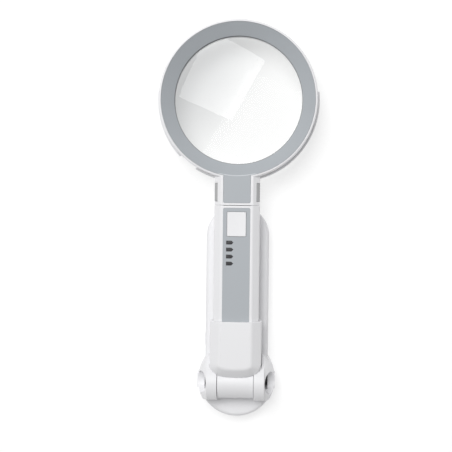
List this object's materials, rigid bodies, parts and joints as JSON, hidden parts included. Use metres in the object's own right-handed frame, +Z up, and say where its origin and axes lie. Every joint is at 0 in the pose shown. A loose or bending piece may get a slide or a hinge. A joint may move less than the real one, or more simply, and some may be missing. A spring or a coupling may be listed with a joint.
{
  "type": "low vision magnifier",
  "caption": "Illuminated low vision magnifier: a round lens head on a battery handle that stands in a cup hinged to a weighted folding base, shown folded flat.",
  "frame": {"origin": "middle of the object's length and width, on the plane that its rubber feet rest on, with the stand folded flat", "axes": "+X across to the right as seen from the front face, +Y along the handle towards the lens, +Z up from the table through the front face"},
  "size_m": [0.1148, 0.2826, 0.0392],
  "materials": {
    "white_shell": "fine satin moulded ABS, white",
    "grey_trim": "fine matt moulded trim, light blue-grey",
    "release_grey": "matt mid-grey",
    "lens_glass": "polished, clear",
    "gasket": "pale translucent silicone",
    "diffuser": "frosted opal",
    "circuit_board": "solder-masked fibreglass",
    "white_board": "white solder mask",
    "lamp": "phosphor-coated lamp packages",
    "window": "smoked window, polished",
    "black_plastic": "moulded black",
    "steel": "zinc-plated",
    "brass": "plain turned",
    "cell_wrap": "shrink sleeve",
    "wire": "insulated wire",
    "tongue": "glass-filled nylon",
    "base_weight": "painted ballast",
    "cover_grey": "fine texture, pale grey",
    "foot_rubber": "soft, matt"
  },
  "bodies": {
    "base": {"base_top_shell": "white_shell", "base_bottom_cover": "cover_grey", "base_weight": "base_weight", "base_feet": "foot_rubber", "base_screws": "steel", "hinge_bolt": "steel", "hinge_nut": "steel", "hinge_cap_left": "white_shell", "hinge_cap_right": "white_shell", "friction_washers": "black_plastic"},
    "cradle": {"cradle_cup": "white_shell", "hinge_bushings": "brass"},
    "handle": {"handle_front_shell": "white_shell", "handle_rear_shell": "white_shell", "handle_panel": "grey_trim", "battery_level_windows": "window", "battery_level_lamps": "lamp", "power_switch": "black_plastic", "control_board": "circuit_board", "battery_cell": "cell_wrap", "charge_board": "circuit_board", "usb_socket": "steel", "handle_wires": "wire", "handle_tongue": "tongue", "contact_pins": "brass", "handle_screws": "steel"},
    "power_key": {"power_button": "white_shell"},
    "head": {"head_front_shell": "white_shell", "head_rear_shell": "white_shell", "lens_bezel": "grey_trim", "magnifier_lens": "lens_glass", "lens_gasket": "gasket", "light_ring_board": "white_board", "light_ring_lamps": "lamp", "light_diffuser": "diffuser", "head_contact_block": "black_plastic", "head_screws": "steel", "latch_springs": "steel"},
    "release_left": {"release_button_left": "release_grey"},
    "release_right": {"release_button_right": "release_grey"}
  },
  "joints": [
    {"name": "cradle_hinge", "type": "hinge", "parent": "base", "child": "cradle", "pos_m": [0, -0.1152, 0.0225], "axis": [1, 0, 0], "range_deg": [0, 105]},
    {"name": "handle_lift", "type": "slide", "parent": "cradle", "child": "handle", "axis": [0, 1, 0], "range_m": [0, 0.048]},
    {"name": "head_release", "type": "slide", "parent": "handle", "child": "head", "axis": [0, 1, 0], "range_m": [0, 0.016]},
    {"name": "power_press", "type": "slide", "parent": "handle", "child": "power_key", "axis": [0, 0, -1], "range_m": [0, 0.0008], "stiffness_N_per_m": 1500, "springref_m": -0.0006},
    {"name": "release_left_press", "type": "slide", "parent": "head", "child": "release_left", "axis": [1, 0, 0], "range_m": [0, 0.001], "stiffness_N_per_m": 2000, "springref_m": -0.0005, "deforming": ["latch_springs"]},
    {"name": "release_right_press", "type": "slide", "parent": "head", "child": "release_right", "axis": [-1, 0, 0], "range_m": [0, 0.001], "stiffness_N_per_m": 2000, "springref_m": -0.0005, "deforming": ["latch_springs"]}
  ]
}
